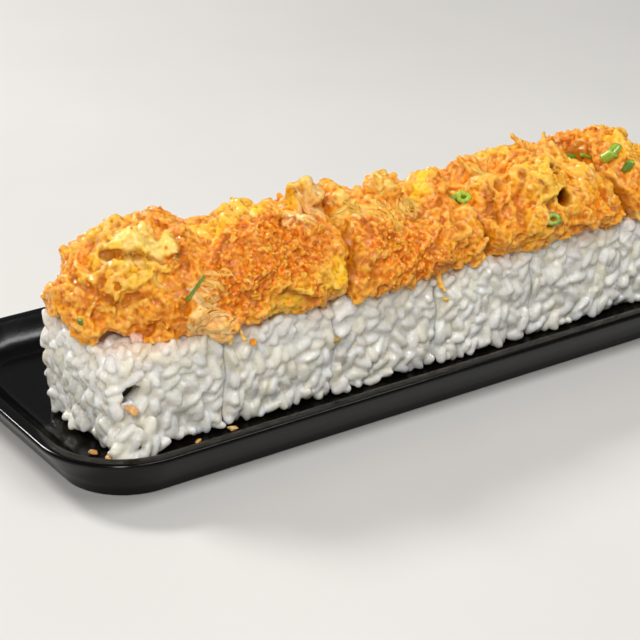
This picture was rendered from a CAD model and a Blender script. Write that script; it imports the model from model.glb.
import itertools
import math
import random

import bmesh
import bpy
import numpy as np
from mathutils import Matrix, Vector, kdtree, noise
from mathutils.bvhtree import BVHTree


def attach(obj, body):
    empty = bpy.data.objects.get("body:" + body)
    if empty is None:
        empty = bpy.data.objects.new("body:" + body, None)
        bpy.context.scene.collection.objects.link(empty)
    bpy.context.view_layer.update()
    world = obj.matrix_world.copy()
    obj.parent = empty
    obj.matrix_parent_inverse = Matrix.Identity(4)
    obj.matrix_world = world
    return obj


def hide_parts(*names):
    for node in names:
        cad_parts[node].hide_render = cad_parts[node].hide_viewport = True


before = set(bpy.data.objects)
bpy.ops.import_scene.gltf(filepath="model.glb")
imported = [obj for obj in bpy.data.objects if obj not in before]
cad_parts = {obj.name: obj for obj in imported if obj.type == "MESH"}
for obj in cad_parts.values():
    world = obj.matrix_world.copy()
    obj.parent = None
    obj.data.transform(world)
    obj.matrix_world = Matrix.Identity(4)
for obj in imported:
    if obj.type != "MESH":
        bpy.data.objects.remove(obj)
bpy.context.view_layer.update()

# The heap's surface uses noise.noise_vector, which gives the same result only from a set seed.
noise.seed_set(2)

# Lengths are in millimetres in roll coordinates, as in the frame's food: X from the roll's first
# end, Y from its front face, Z from the plate's floor. The function placed moves them to metres.
MM = 0.001
SLICES = 6
SLICE_LENGTH = 35.0
ROLL_LENGTH = SLICES * SLICE_LENGTH
ROLL_WIDTH = 40.2
ROLL_HEIGHT = 29.7
FLOOR_HEIGHT = 5.4
FRONT_MARGIN = 18.0
PLATE_LENGTH = 245.0
PLATE_WIDTH = 104.0
ORIGIN = np.array([-ROLL_LENGTH / 2, FRONT_MARGIN - PLATE_WIDTH / 2, FLOOR_HEIGHT])

# The photograph's camera, fitted to the plate's rim and the roll's seams.
CAMERA_AT = (-204.32, -399.48, 243.85)
CAMERA_TO = (76.15, 16.81, 15.63)
LENS = 109.18
SENSOR = 36.0


def placed(points):
    """Points in millimetres on the roll, as metres in the plate's frame."""
    return (np.asarray(points, float) + ORIGIN) * MM


def show(name, data):
    """A new object in the scene."""
    made = bpy.data.objects.new(name, data)
    bpy.context.scene.collection.objects.link(made)
    return made


def show_shape(name, shape):
    """A new object from a bmesh."""
    mesh = bpy.data.meshes.new(name)
    shape.to_mesh(mesh)
    shape.free()
    return show(name, mesh)


def unit(way):
    return way / np.linalg.norm(way)


def units(ways):
    return ways / np.linalg.norm(ways, axis=-1, keepdims=True)


def build(name, points, faces, tints=None):
    """A smooth mesh object from points in millimetres, with a colour for each point."""
    mesh = bpy.data.meshes.new(name)
    mesh.vertices.add(len(points))
    mesh.vertices.foreach_set("co", placed(points).ravel())
    faces = np.asarray(faces, int)
    count, corners = faces.shape
    mesh.loops.add(count * corners)
    mesh.loops.foreach_set("vertex_index", faces.ravel())
    mesh.polygons.add(count)
    mesh.polygons.foreach_set("loop_start", np.arange(0, count * corners, corners))
    mesh.polygons.foreach_set("loop_total", np.full(count, corners))
    mesh.update(calc_edges=True)
    mesh.shade_smooth()
    made = show(name, mesh)
    if tints is not None:
        paint(made, "tint", tints)
    return made


def darker(tints, share, amounts):
    """Tints without these shares of their red, green and blue, where the share is 1."""
    return tints * (1 - share[:, None] * np.array(amounts))


def toward(tints, share, colour, amount):
    """Tints moved some way to another colour, all of that way where the share is 1."""
    return tints + share[:, None] * (np.array(colour) - tints) * amount


def paint(target, layer, values):
    """Store a red, green, blue value for each point."""
    colours = np.ones((len(target.data.vertices), 4))
    colours[:, :3] = values
    stored = target.data.color_attributes.new(name=layer, type="FLOAT_COLOR", domain="POINT")
    stored.data.foreach_set("color", colours.ravel())


def finish_piece(piece, look, slot, *nodes):
    piece.data.materials.clear()
    piece.data.materials.append(look)
    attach(piece, "root")
    if nodes:
        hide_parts(*nodes)


def mesh_points(target):
    """An object's points in millimetres on the roll."""
    return vertex_values(target, "co") / MM - ORIGIN


def set_points(target, points):
    target.data.vertices.foreach_set("co", placed(points).ravel())
    target.data.update()


def vertex_values(target, kind):
    flat = np.empty(len(target.data.vertices) * 3)
    target.data.vertices.foreach_get(kind, flat)
    return flat.reshape(-1, 3)


def vertex_normals(target):
    return vertex_values(target, "normal")


def apply_modifiers(target):
    graph = bpy.context.evaluated_depsgraph_get()
    flat = bpy.data.meshes.new_from_object(target.evaluated_get(graph))
    target.modifiers.clear()
    target.data = flat


def join(name, objects):
    """Several mesh objects as one, with their stored colours."""
    with bpy.context.temp_override(active_object=objects[0], selected_editable_objects=objects):
        bpy.ops.object.join()
    objects[0].name = name
    return objects[0]


def fuse(target, voxel):
    """One closed skin round everything in the object, without the loose scraps."""
    step = target.modifiers.new("fuse", "REMESH")
    step.mode = "VOXEL"
    step.voxel_size = voxel * MM
    apply_modifiers(target)
    keep_largest(target)


def keep_largest(target):
    shape = bmesh.new()
    shape.from_mesh(target.data)
    waiting = set(shape.verts)
    bodies = []
    while waiting:
        body = [waiting.pop()]
        front = list(body)
        while front:
            for edge in front.pop().link_edges:
                for vert in edge.verts:
                    if vert in waiting:
                        waiting.discard(vert)
                        body.append(vert)
                        front.append(vert)
        bodies.append(body)
    bodies.sort(key=len)
    for body in bodies[:-1]:
        bmesh.ops.delete(shape, geom=body, context="VERTS")
    shape.to_mesh(target.data)
    shape.free()


def thin_flats(target, share):
    """Keep a share of the triangles, which takes them first from the hidden flat parts."""
    step = target.modifiers.new("thin", "DECIMATE")
    step.ratio = share
    apply_modifiers(target)


class Neighbours:
    """The edges of a mesh, for smoothing and for finding its valleys."""

    def __init__(self, target):
        flat = np.empty(len(target.data.edges) * 2, int)
        target.data.edges.foreach_get("vertices", flat)
        self.starts, self.ends = flat.reshape(-1, 2).T
        self.total = len(target.data.vertices)
        self.count = np.bincount(flat, minlength=self.total).clip(1)

    def mean(self, values):
        if values.ndim == 2:
            return np.stack([self.mean(column) for column in values.T], axis=1)
        total = np.bincount(self.starts, weights=values[self.ends], minlength=self.total)
        total += np.bincount(self.ends, weights=values[self.starts], minlength=self.total)
        return total / self.count

    def smooth(self, values, times, share):
        for _ in range(times):
            values = values + (self.mean(values) - values) * share
        return values

    def valleys(self, points, normals, times):
        """How far each point lies under the mean of those round it, in millimetres."""
        return np.einsum("ij,ij->i", self.smooth(points, times, 1.0) - points, normals)


# Seeded noise on arrays of points


GRADIENTS = np.array([way for way in itertools.product((-1, 0, 1), repeat=3)
                      if sum(map(abs, way)) == 2], float)
SHORT = 0xFFFFFFFF


def hashed(cells, seed):
    """A repeatable number for each row of three whole numbers."""
    mixed = (cells[:, 0] * 73856093) ^ (cells[:, 1] * 19349663) ^ (cells[:, 2] * 83492791)
    mixed = (mixed ^ (seed * 40503)) & SHORT
    mixed = ((mixed ^ (mixed >> 13)) * 1274126177) & SHORT
    return mixed ^ (mixed >> 16)


def waves(points, size, seed):
    """Smooth gradient noise of about -0.8 to 0.8, with features of the given size."""
    scaled = points / size + seed * 17.31
    cell = np.floor(scaled).astype(np.int64)
    part = scaled - cell
    fade = part ** 3 * (part * (part * 6 - 15) + 10)
    total = np.zeros(len(points))
    for corner in itertools.product((0, 1), repeat=3):
        corner = np.array(corner)
        gradient = GRADIENTS[hashed(cell + corner, seed) % len(GRADIENTS)]
        weight = np.prod(np.where(corner == 1, fade, 1 - fade), axis=1)
        total += weight * np.einsum("ij,ij->i", gradient, part - corner)
    return total


def granules(points, size, seed):
    """Distance to the nearest of many seeded points, in sizes, and that point's own share."""
    scaled = points / size
    cell = np.floor(scaled).astype(np.int64)
    nearest, owner = np.full(len(points), 9.0), np.zeros(len(points))
    for corner in itertools.product((-1, 0, 1), repeat=3):
        other = cell + np.array(corner)
        code = hashed(other, seed)
        spot = other + np.stack((code & 1023, code >> 10 & 1023, code >> 20 & 1023), 1) / 1024
        away = np.linalg.norm(scaled - spot, axis=1)
        closer = away < nearest
        nearest = np.where(closer, away, nearest)
        owner = np.where(closer, (code >> 7 & 255) / 255, owner)
    return nearest, owner


# Materials


class Look:
    """A Principled material with short ways to add the nodes that these looks share."""

    def __init__(self, name, **values):
        self.material = bpy.data.materials.new(name)
        self.material.use_nodes = True
        self.nodes = self.material.node_tree.nodes
        self.links = self.material.node_tree.links
        self.shader = self.nodes["Principled BSDF"]
        for key, value in values.items():
            self.shader.inputs[key.replace("_", " ")].default_value = value

    def add(self, kind, **values):
        node = self.nodes.new(kind)
        for key, value in values.items():
            setattr(node, key, value)
        return node

    def link(self, output, target):
        self.links.new(output, target)

    def feed(self, source, target):
        if isinstance(source, (int, float)):
            target.default_value = source
        else:
            self.link(source, target)

    def texture(self, made, **values):
        for key, value in values.items():
            made.inputs[key].default_value = value
        place = self.add("ShaderNodeTexCoord")
        self.link(place.outputs["Object"], made.inputs["Vector"])
        return made.outputs

    def noise(self, scale, detail=4.0, roughness=0.55):
        made = self.add("ShaderNodeTexNoise")
        return self.texture(made, Scale=scale, Detail=detail, Roughness=roughness)["Fac"]

    def cells(self, scale):
        made = self.add("ShaderNodeTexVoronoi", feature="SMOOTH_F1")
        return self.texture(made, Scale=scale, Smoothness=0.35)["Distance"]

    def ramp(self, value, stops):
        made = self.add("ShaderNodeValToRGB")
        elements = made.color_ramp.elements
        while len(elements) < len(stops):
            elements.new(0.5)
        for element, (place, colour) in zip(elements, stops):
            element.position = place
            element.color = (*colour, 1)
        self.link(value, made.inputs["Fac"])
        return made.outputs["Color"]

    def attribute(self, name):
        return self.add("ShaderNodeAttribute", attribute_name=name).outputs["Color"]

    def red(self, colour):
        made = self.add("ShaderNodeSeparateColor")
        self.link(colour, made.inputs["Color"])
        return made.outputs["Red"]

    def mix(self, share, first, second, blend="MIX"):
        made = self.add("ShaderNodeMix", data_type="RGBA", blend_type=blend)
        self.feed(share, made.inputs["Factor"])
        self.feed(first, made.inputs[6])
        self.feed(second, made.inputs[7])
        return made.outputs[2]

    def math(self, operation, first, second):
        made = self.add("ShaderNodeMath", operation=operation)
        self.feed(first, made.inputs[0])
        self.feed(second, made.inputs[1])
        return made.outputs["Value"]

    def base(self, colour):
        self.link(colour, self.shader.inputs["Base Color"])

    def rough(self, value, low, high):
        made = self.add("ShaderNodeMapRange")
        made.inputs["To Min"].default_value = low
        made.inputs["To Max"].default_value = high
        self.link(value, made.inputs["Value"])
        self.link(made.outputs["Result"], self.shader.inputs["Roughness"])

    def bump(self, heights):
        """Bump from (height output, distance in metres) pairs, the finest last."""
        normal = None
        for height, distance in heights:
            made = self.add("ShaderNodeBump")
            made.inputs["Strength"].default_value = 1
            made.inputs["Distance"].default_value = distance
            self.link(height, made.inputs["Height"])
            if normal:
                self.link(normal, made.inputs["Normal"])
            normal = made.outputs["Normal"]
        self.link(normal, self.shader.inputs["Normal"])
        self.link(normal, self.shader.inputs["Coat Normal"])


def rice_look():
    look = Look("cooked_rice", IOR=1.42, Subsurface_Weight=1.0, Subsurface_Scale=0.0028,
                Coat_Weight=0.8, Coat_Roughness=0.05, Subsurface_Radius=(1.0, 0.88, 0.68))
    cloud = look.ramp(look.noise(700, 3), [(0.35, (0.9, 0.9, 0.89)), (0.65, (1, 1, 1))])
    look.base(look.mix(1.0, look.attribute("tint"), cloud, "MULTIPLY"))
    look.rough(look.noise(1300, 2), 0.16, 0.4)
    look.bump([(look.noise(800, 3), 0.0003), (look.noise(2200, 2), 0.00012)])
    return look.material


def nori_look():
    look = Look("nori_sheet", Roughness=0.5, IOR=1.45)
    weave = look.noise(2500, 6, 0.7)
    look.base(look.ramp(weave, [(0.3, (0.004, 0.006, 0.004)), (0.7, (0.02, 0.028, 0.016))]))
    look.bump([(weave, 0.0002)])
    return look.material


def plate_look():
    look = Look("black_plate", IOR=1.5, Specular_IOR_Level=0.2)
    speck = look.noise(700, 5, 0.65)
    look.base(look.ramp(speck, [(0.4, (0.0018, 0.0017, 0.0016)), (0.62, (0.003, 0.0028, 0.0026))]))
    look.rough(look.noise(150, 4), 0.1, 0.2)
    look.bump([(look.noise(260, 3), 0.000025), (speck, 0.00001)])
    return look.material


def topping_look():
    look = Look("baked_topping", IOR=1.4, Specular_IOR_Level=0.08, Subsurface_Weight=0.1,
                Subsurface_Scale=0.0008, Subsurface_Radius=(1.0, 0.5, 0.2),
                Coat_Weight=0.7, Coat_Roughness=0.06)
    egg_share = look.red(look.attribute("mask"))
    eggs = look.cells(950)
    egg_shade = look.ramp(eggs, [(0.12, (1.12, 1.22, 1.1)), (0.45, (1, 1, 0.9)),
                                 (0.75, (0.9, 0.68, 0.4))])
    mottle = look.ramp(look.noise(380, 5, 0.62), [(0.3, (0.93, 0.8, 0.55)), (0.5, (1, 1, 1)),
                                                  (0.74, (1.04, 1.12, 1.3))])
    tint = look.mix(1.0, look.attribute("tint"), mottle, "MULTIPLY")
    grainy = look.mix(1.0, tint, egg_shade, "MULTIPLY")
    look.base(look.mix(egg_share, tint, grainy))
    look.rough(look.noise(800, 3), 0.16, 0.42)
    look.bump([(look.noise(480, 4), 0.0003),
               (look.math("MULTIPLY", eggs, egg_share), -0.0005),
               (look.noise(1500, 4, 0.6), 0.00012)])
    return look.material


def small_look(name, roughness, coat, bump_scale, bump_depth, glow=0.3):
    look = Look(name, IOR=1.42, Subsurface_Weight=glow, Subsurface_Scale=0.001,
                Subsurface_Radius=(1.0, 0.6, 0.25), Coat_Weight=coat, Coat_Roughness=0.08)
    vary = look.ramp(look.noise(900, 3), [(0.3, (0.86, 0.84, 0.78)), (0.7, (1, 1, 1))])
    look.base(look.mix(1.0, look.attribute("tint"), vary, "MULTIPLY"))
    look.rough(look.noise(1200, 2), roughness, roughness + 0.15)
    look.bump([(look.noise(bump_scale, 4), bump_depth)])
    return look.material


# Plate: the frame's profile and plan, turned in finer steps


PLATE_CORNER = 25.5
PLATE_STEPS = 96
RIM_HEIGHT = 13.0
LIP_WIDTH = 4.0
FLOOR_INSET = 14.0
FOOT_INSET = 7.0
FOOT_WIDTH = 3.5
FOOT_DEPTH = 1.4
LIP_ROUND = 0.9
FOOT_ROUND = 1.2


def plate_profile():
    """The plate's section as (distance in from the corner's centre, height) points."""
    radius = PLATE_CORNER
    points = []
    for share in np.linspace(0, 1, 15):
        rise = (RIM_HEIGHT - FLOOR_HEIGHT) * (1 - math.cos(share * math.pi / 2)) * 0.94
        points.append((radius - FLOOR_INSET + (FLOOR_INSET - LIP_WIDTH) * share,
                       FLOOR_HEIGHT + rise))
    points.append((radius - LIP_WIDTH + 0.35 * LIP_ROUND, RIM_HEIGHT - 0.12))
    points.append((radius - LIP_WIDTH + LIP_ROUND, RIM_HEIGHT))
    for turn in np.linspace(90, -20, 10):
        angle = math.radians(turn)
        points.append((radius - LIP_ROUND + LIP_ROUND * math.cos(angle),
                       RIM_HEIGHT - LIP_ROUND + LIP_ROUND * math.sin(angle)))
    foot = radius - FOOT_INSET
    points += [(foot + FOOT_ROUND, 3.2 * FOOT_ROUND), (foot + 0.35 * FOOT_ROUND, 1.9 * FOOT_ROUND),
               (foot, FOOT_ROUND), (foot - 0.3 * FOOT_ROUND, 0.3 * FOOT_ROUND),
               (foot - FOOT_ROUND, 0), (foot - FOOT_ROUND - FOOT_WIDTH, 0),
               (foot - 2 * FOOT_ROUND - FOOT_WIDTH, FOOT_DEPTH)]
    return points


def quads(rows, count, around):
    """Faces between each closed row of points and the next, out of a count of rows."""
    faces = []
    for row, following in zip(rows, rows[1:]):
        low, high = row * around, following % count * around
        for step in range(around):
            after = (step + 1) % around
            faces.append((low + step, low + after, high + after, high + step))
    return faces


def fine_plate(look):
    profile = plate_profile()
    points = []
    quarter = PLATE_STEPS // 4
    for radius, height in profile:
        for corner, (way_x, way_y) in enumerate(((1, 1), (-1, 1), (-1, -1), (1, -1))):
            for step in range(quarter + 1):
                angle = math.pi / 2 * (corner + step / quarter)
                points.append((way_x * (PLATE_LENGTH / 2 - PLATE_CORNER) + radius * math.cos(angle),
                               way_y * (PLATE_WIDTH / 2 - PLATE_CORNER) + radius * math.sin(angle),
                               height))
    around = PLATE_STEPS + 4
    faces = quads(range(len(profile)), len(profile), around)
    mesh = bpy.data.meshes.new("plate_fine")
    last = (len(profile) - 1) * around
    caps = [tuple(range(around)), tuple(range(last, last + around))[::-1]]
    mesh.from_pydata([(x * MM, y * MM, z * MM) for x, y, z in points], [], faces + caps)
    made = show("plate_fine", mesh)
    fix_normals(made)
    made.data.shade_smooth()
    made.data.set_sharp_from_angle(angle=math.radians(35))
    finish_piece(made, look, "plate", "plate")


def fix_normals(target):
    shape = bmesh.new()
    shape.from_mesh(target.data)
    bmesh.ops.recalc_face_normals(shape, faces=shape.faces)
    shape.to_mesh(target.data)
    shape.free()


# Rice


GRAIN_HALF = 3.25
GRAIN_RADIUS = 1.62
# The voxel that fuses the grains, and the share of its triangles that each slice keeps.
RICE_VOXEL = 0.44
RICE_KEPT = (0.75, 0.6, 0.6, 0.6, 0.6, 0.75)


def tube_faces(rings, around):
    """A closed tube's triangles: its points are the rings', then the first and the last end's."""
    faces = []
    first, top = rings * around, (rings - 1) * around
    for step in range(around):
        after = (step + 1) % around
        for low in range(0, top, around):
            high = low + around
            faces.append((low + step, low + after, high + after))
            faces.append((low + step, high + after, high + step))
        faces.append((first, after, step))
        faces.append((first + 1, top + step, top + after))
    return faces


def grain_templates(count=8, around=12, along=8):
    """Cooked grains of several shapes: plump, a little bent and dented, along X, unit sized."""
    draw = random.Random(3)
    shapes = []
    for number in range(count):
        bend = draw.uniform(-0.16, 0.16)
        taper = draw.uniform(-0.2, 0.2)
        dent = draw.uniform(0.0, 0.14)
        seed = Vector((number * 7.3, 1.7, 4.1))
        points = []
        for ring in range(1, along):
            turn = math.pi * ring / along
            x = -math.cos(turn)
            size = math.sin(turn) ** 0.66 * (1 + taper * x)
            for step in range(around):
                angle = math.tau * step / around
                y, z = size * math.cos(angle), size * 0.88 * math.sin(angle)
                z -= dent * max(0.0, math.sin(angle)) * (1 - x * x)
                lump = 1 + 0.14 * noise.noise(Vector((x * 1.7, y * 1.2, z * 1.2)) + seed)
                points.append((x, y * lump + bend * 2.3 * (x * x - 0.4), z * lump))
        shapes.append(np.array(points + [(-1, 0, 0), (1, 0, 0)]))
    return shapes, np.array(tube_faces(along - 1, around))


TEMPLATES, GRAIN_FACES = grain_templates()
# Gaps in the first slice through which the nori shows: centre, the way through, radius.
WINDOW_MARGIN, WINDOW_CUT = 0.4, 0.8
WINDOWS = [((6.4, 0.0, 18.4), (0, 1, 0), 2.7), ((5.5, 21.0, 29.0), (0, 0, 1), 2.5)]


UPPER_CORNER, LOWER_CORNER = 4.5, 2.2


def section_outline(inset):
    """The roll's cross-section as (y, z) points, from the lower front corner up and round."""
    low, high = 0.3 + inset * 0.6, ROLL_HEIGHT - inset
    front, back = inset, ROLL_WIDTH - inset
    corners = [(front, low, LOWER_CORNER, 270), (front, high, UPPER_CORNER, 180),
               (back, high, UPPER_CORNER, 90), (back, low, LOWER_CORNER, 0)]
    points = []
    for y, z, size, start in corners:
        centre_y = y + size if y == front else y - size
        centre_z = z + size if z == low else z - size
        for turn in np.linspace(start, start - 90, 6):
            angle = math.radians(turn)
            points.append((centre_y + size * math.cos(angle), centre_z + size * math.sin(angle)))
    return points


def walk(points, distance):
    """The point and outward normal at a distance along an open line of (y, z) points."""
    for start, end in zip(points, points[1:]):
        length = math.dist(start, end)
        if distance <= length and length > 0:
            share = distance / length
            y = start[0] + (end[0] - start[0]) * share
            z = start[1] + (end[1] - start[1]) * share
            return (y, z), (-(end[1] - start[1]) / length, (end[0] - start[0]) / length)
        distance -= length
    return points[-1], (0, 1)


# For each slice: the share of grains that stand upright, and how far its foot leans forward.
UPRIGHT = (0.3, 0.62, 0.66, 0.5, 0.25, 0.4)
FOOT_FORWARD = (0.2, 0.5, 0.9, 1.2, 0.8, -0.6)

# How grains are thrown: attempts, depth under the face, size, and least distance between them.
LAYERS = [(5200, (0.8, 1.7), 1.0, 2.1), (5200, (0.9, 2.0), 0.75, 1.8), (3000, (1.9, 2.6), 0.9, 1.6)]


class Throw:
    """Throws grains at one slice's faces and keeps those that find room."""

    def __init__(self, number):
        self.number = number
        self.draw = random.Random(100 + number)
        self.start, self.end = number * SLICE_LENGTH, (number + 1) * SLICE_LENGTH
        self.first, self.last = number == 0, number == SLICES - 1
        self.outline = section_outline(0)
        side = sum(math.dist(a, b) for a, b in zip(self.outline[:12], self.outline[1:13]))
        self.run = side + (12 if self.first else 7)
        self.probes = np.empty((0, 3))
        self.kept = []
        for attempts, depth, size, apart in LAYERS:
            for _ in range(attempts):
                self.attempt(depth, size, apart)

    def spot(self):
        """A place on the slice, the outward way there, and two ways along the face."""
        draw = self.draw
        if (self.first or self.last) and draw.random() < 0.33:
            outward = np.array([-1.0 if self.first else 1.0, 0, 0])
            place = np.array([self.start if self.first else self.end,
                              draw.uniform(0.5, ROLL_WIDTH - 0.5),
                              draw.uniform(0.5, ROLL_HEIGHT - 0.5)])
            return place, outward, np.array([0.0, 1, 0]), np.array([0.0, 0, 1])
        (y, z), (way_y, way_z) = walk(self.outline, draw.uniform(0, self.run))
        if draw.random() < 0.5:
            y, way_y = ROLL_WIDTH - y, -way_y
        outward = np.array([0, way_y, way_z])
        place = np.array([draw.uniform(self.start, self.end), y, z])
        return place, outward, np.array([1.0, 0, 0]), np.array([0, -way_z, way_y])

    def attempt(self, depth, size, apart):
        draw = self.draw
        place, outward, along, across = self.spot()
        upright = draw.random() < UPRIGHT[self.number]
        angle = math.radians(draw.gauss(90, 26) if upright else draw.uniform(0, 180))
        tilt = math.radians(draw.gauss(0, 15))
        axis = (along * math.cos(angle) + across * math.sin(angle)) * math.cos(tilt)
        axis = axis + outward * math.sin(tilt)
        half = GRAIN_HALF * size * draw.uniform(0.84, 1.1)
        radius = GRAIN_RADIUS * draw.uniform(0.88, 1.08)
        centre = place - outward * draw.uniform(*depth)
        slack = 0.9 if place[2] > 0.5 * ROLL_HEIGHT else 1.7
        lowest = np.array([self.start + (-0.8 if self.first else 0.12), -slack, 0.2])
        highest = np.array([self.end + (0.8 if self.last else -0.12), ROLL_WIDTH + slack,
                            ROLL_HEIGHT + 0.3])
        reach = np.abs(axis) * (half - radius) + radius * 0.96
        centre = np.minimum(np.maximum(centre, lowest + reach), highest - reach)
        steps = np.array([-0.78, -0.26, 0.26, 0.78])[:, None]
        mine = centre + axis * steps * (half - 0.5 * radius)
        if len(self.probes):
            near = self.probes[np.abs(self.probes - centre).max(axis=1) < 9]
            if len(near) and np.linalg.norm(near[:, None] - mine[None], axis=2).min() < apart:
                return
        if self.first and self.over_window(mine):
            return
        self.probes = np.vstack((self.probes, mine))
        self.kept.append((centre, axis, outward, half, radius, depth[0]))

    def over_window(self, points):
        for hole, way, size in WINDOWS:
            away = points - np.array(hole)
            along = np.abs(away @ np.array(way)) < 7
            off = np.linalg.norm(away * (1 - np.abs(np.array(way))), axis=1)
            if (along & (off < size + WINDOW_MARGIN)).any():
                return True
        return False


# The clump of grains that has slid out at the first slice's front corner: centre and direction.
CLUMP = [((1.6, -2.4, 2.2), (1, -0.25, 0.12)), ((1.0, -1.6, 5.2), (1, 0.3, 0.5)),
         ((4.9, -3.6, 2.1), (0.8, 0.6, 0.1)), ((4.4, -2.6, 5.0), (0.5, -0.2, 0.9)),
         ((8.0, -3.2, 2.6), (0.3, 0.2, 0.7)), ((7.4, -2.3, 6.6), (-0.35, 0.15, 1)),
         ((10.9, -2.7, 3.4), (0.15, 0.1, 1)), ((10.6, -1.5, 8.2), (0.3, 0.1, 1)),
         ((3.6, -1.3, 8.6), (0.9, 0.1, 0.6)), ((13.4, -1.5, 2.4), (0.9, -0.1, 0.4))]


def clump_spots(draw):
    made = []
    for centre, axis in CLUMP:
        half = GRAIN_HALF * draw.uniform(0.9, 1.12)
        axis = unit(np.array(axis))
        centre = np.array(centre)
        reach = abs(axis[2]) * (half - GRAIN_RADIUS) + GRAIN_RADIUS
        centre[2] = max(centre[2], 0.3 + reach)
        made.append((centre, axis, np.array([0.0, -1, 0]), half, 1.08 * GRAIN_RADIUS, 0))
    return made


def rice_tint(draw, deep):
    white = draw.gauss(0.855, 0.05) - (0.03 if deep else 0)
    warm = draw.random() ** 2
    return np.clip([white, white * (0.98 - 0.02 * warm), white * (0.93 - 0.12 * warm)], 0, 0.93)


def rice_slice(number, look):
    """One slice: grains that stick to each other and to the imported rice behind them."""
    thrown = Throw(number)
    draw = thrown.draw
    spots = thrown.kept + (clump_spots(draw) if number == 0 else [])
    points, faces, tints = [], [], []
    tree = kdtree.KDTree(len(spots) * 4)
    for index, (centre, axis, outward, half, radius, depth) in enumerate(spots):
        side = unit(np.cross(outward, axis))
        up = np.cross(axis, side)
        shape = TEMPLATES[draw.randrange(len(TEMPLATES))]
        turn = draw.uniform(0, math.tau)
        y = shape[:, 1] * math.cos(turn) - shape[:, 2] * math.sin(turn)
        z = shape[:, 1] * math.sin(turn) + shape[:, 2] * math.cos(turn)
        place = (centre + shape[:, :1] * half * axis + y[:, None] * radius * side
                 + z[:, None] * radius * up)
        points.append(lean(place, number))
        faces.append(GRAIN_FACES + index * len(shape))
        tints.append(rice_tint(draw, depth > 2))
        for step in range(4):
            probe = centre + axis * (half - 0.6 * radius) * (step - 1.5) / 1.5
            tree.insert(lean(probe[None], number)[0], index)
    tree.balance()
    made = build("grains", np.vstack(points), np.vstack(faces))
    body = join("rice_%d" % (number + 1), [made, rice_core(number)])
    fuse(body, RICE_VOXEL)
    neighbours = Neighbours(body)
    places = neighbours.smooth(mesh_points(body), 1, 0.25)
    places[:, 0] += 1.5 * waves(places * np.array([0.03, 1, 1]), 6.5, 33)
    set_points(body, places)
    valley = np.clip(neighbours.valleys(places, vertex_normals(body), 2) / 0.16, 0, 1)[:, None]
    tints = np.array([tints[tree.find(place)[1]] for place in places])
    tints = np.clip(tints * (1 + valley * np.array([0.1, 0.08, 0.04])), 0, 0.95)
    stained = np.clip((places[:, 2] - 22.5) / 5, 0, 1)
    stained *= np.clip(0.35 + 2 * waves(places, 11, 31), 0, 1)
    paint(body, "tint", darker(tints, stained, (0.01, 0.1, 0.17)))
    thin_flats(body, RICE_KEPT[number])
    body.data.shade_smooth()
    finish_piece(body, look, "rice", "rice_slice_%d" % (number + 1))


def lean(points, number):
    """The front face's foot reaches a little further forward than its top."""
    low = 1 - np.clip(points[:, 2] / 14, 0, 1)
    points = points.copy()
    points[:, 1] -= FOOT_FORWARD[number] * low * (points[:, 1] < ROLL_WIDTH / 2)
    return points


CORE_INSET, CORE_END_INSET, SEAM = 1.35, 2.2, 0.15


def rice_core(number):
    """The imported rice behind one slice's grains."""
    start, end = number * SLICE_LENGTH + SEAM, (number + 1) * SLICE_LENGTH - SEAM
    if number == 0:
        start += CORE_END_INSET
    if number == SLICES - 1:
        end -= CORE_END_INSET
    shape = bmesh.new()
    corners = [shape.verts.new(placed([start, y, z])) for y, z in section_outline(CORE_INSET)]
    face = shape.faces.new(corners)
    pushed = bmesh.ops.extrude_face_region(shape, geom=[face])
    moved = [item for item in pushed["geom"] if isinstance(item, bmesh.types.BMVert)]
    bmesh.ops.translate(shape, verts=moved, vec=((end - start) * MM, 0, 0))
    bmesh.ops.recalc_face_normals(shape, faces=shape.faces)
    made = show_shape("core", shape)
    if number == 0:
        for hole, way, size in WINDOWS:
            cut_hole(made, hole, way, size + WINDOW_CUT)
    return made


def cut_hole(target, centre, way, radius):
    shape = bmesh.new()
    bmesh.ops.create_cone(shape, cap_ends=True, segments=16, radius1=radius * MM,
                          radius2=radius * MM, depth=14 * MM)
    cutter = show_shape("hole", shape)
    cutter.matrix_world = (Matrix.Translation(placed(centre))
                           @ Vector(way).to_track_quat("Z", "Y").to_matrix().to_4x4())
    bpy.context.view_layer.update()
    step = target.modifiers.new("hole", "BOOLEAN")
    step.object = cutter
    apply_modifiers(target)
    bpy.data.objects.remove(cutter, do_unlink=True)


# Topping: the same stations and lumps as the frame's solid, on a finer surface


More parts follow.
